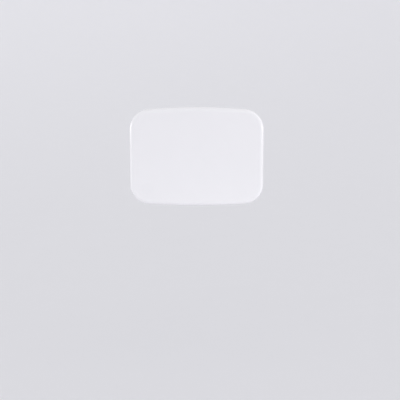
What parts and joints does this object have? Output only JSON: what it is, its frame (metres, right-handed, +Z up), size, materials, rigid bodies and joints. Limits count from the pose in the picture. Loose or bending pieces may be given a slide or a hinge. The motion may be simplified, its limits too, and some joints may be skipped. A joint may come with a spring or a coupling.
{
  "type": "wifi range extender",
  "caption": "Plug-in Wi-Fi range extender: a landscape rounded white case with a gently domed glossy face, mains blades on its back and a reset button on one side.",
  "frame": {"origin": "on the flat rear face, midway between the two blades", "axes": "+Z up as plugged into the wall, +Y into the wall along the blades, +X to the right of a person facing the cover, which faces -Y"},
  "size_m": [0.1011, 0.0475, 0.0745],
  "materials": {
    "case_white": "glossy moulded plastic",
    "label_grey": "satin polyester label, blank",
    "blade_metal": "bright nickel plate",
    "screw_steel": "zinc plated",
    "dark_plastic": "moulded",
    "circuit_board": "solder mask over glass laminate",
    "package_black": "moulded epoxy",
    "capacitor_sleeve": "shrunk sleeve over an aluminium can",
    "film_yellow": "moulded box",
    "disc_blue": "dipped epoxy",
    "ferrite": "ground ferrite",
    "winding_tape": "polyester tape",
    "choke_copper": "enamelled wire",
    "fuse_ceramic": "ceramic tube with end caps",
    "sheet_film": "translucent sheet",
    "spreader_aluminium": "stamped sheet",
    "shield_tin": "tin plated sheet",
    "pad_grey": "soft pad",
    "light_clear": "clear moulding",
    "light_dome": "phosphor dome",
    "lead_black": "smooth jacket"
  },
  "bodies": {
    "case": {"front_cover": "case_white", "rear_housing": "case_white", "rating_label": "label_grey", "neutral_blade": "blade_metal", "line_blade": "blade_metal", "housing_screw_1": "screw_steel", "housing_screw_2": "screw_steel", "housing_screw_3": "screw_steel", "housing_screw_4": "screw_steel", "power_board_screw_1": "screw_steel", "power_board_screw_2": "screw_steel", "logic_board_screw_1": "screw_steel", "logic_board_screw_2": "screw_steel", "logic_board_screw_3": "screw_steel", "blade_holder": "dark_plastic", "transformer_bobbin": "dark_plastic", "power_board": "circuit_board", "logic_board": "circuit_board", "antenna_1": "circuit_board", "antenna_2": "circuit_board", "bridge_rectifier": "package_black", "power_controller_chip": "package_black", "optocoupler": "package_black", "board_header": "package_black", "board_socket": "package_black", "processor_chip": "package_black", "memory_chip": "package_black", "radio_1_chip": "package_black", "radio_2_chip": "package_black", "flash_chip": "package_black", "reset_switch": "package_black", "bulk_capacitor_1": "capacitor_sleeve", "bulk_capacitor_2": "capacitor_sleeve", "output_capacitor_1": "capacitor_sleeve", "output_capacitor_2": "capacitor_sleeve", "noise_capacitor": "film_yellow", "varistor": "disc_blue", "safety_capacitor": "disc_blue", "transformer_core": "ferrite", "output_inductor": "ferrite", "transformer_winding": "winding_tape", "common_mode_choke": "choke_copper", "fuse": "fuse_ceramic", "insulation_sheet": "sheet_film", "heat_spreader": "spreader_aluminium", "processor_shield": "shield_tin", "radio_1_shield": "shield_tin", "radio_2_shield": "shield_tin", "processor_thermal_pad": "pad_grey", "radio_1_thermal_pad": "pad_grey", "radio_2_thermal_pad": "pad_grey", "status_light_pipe": "light_clear", "status_led": "light_dome", "antenna_lead_1": "lead_black", "antenna_lead_2": "lead_black"},
    "button": {"reset_button": "case_white", "reset_switch_plunger": "dark_plastic"}
  },
  "joints": [
    {"name": "reset_press", "type": "slide", "parent": "case", "child": "button", "axis": [-1, 0, 0], "range_m": [0, 0.0006], "stiffness_N_per_m": 2000, "springref_m": -0.0002}
  ]
}
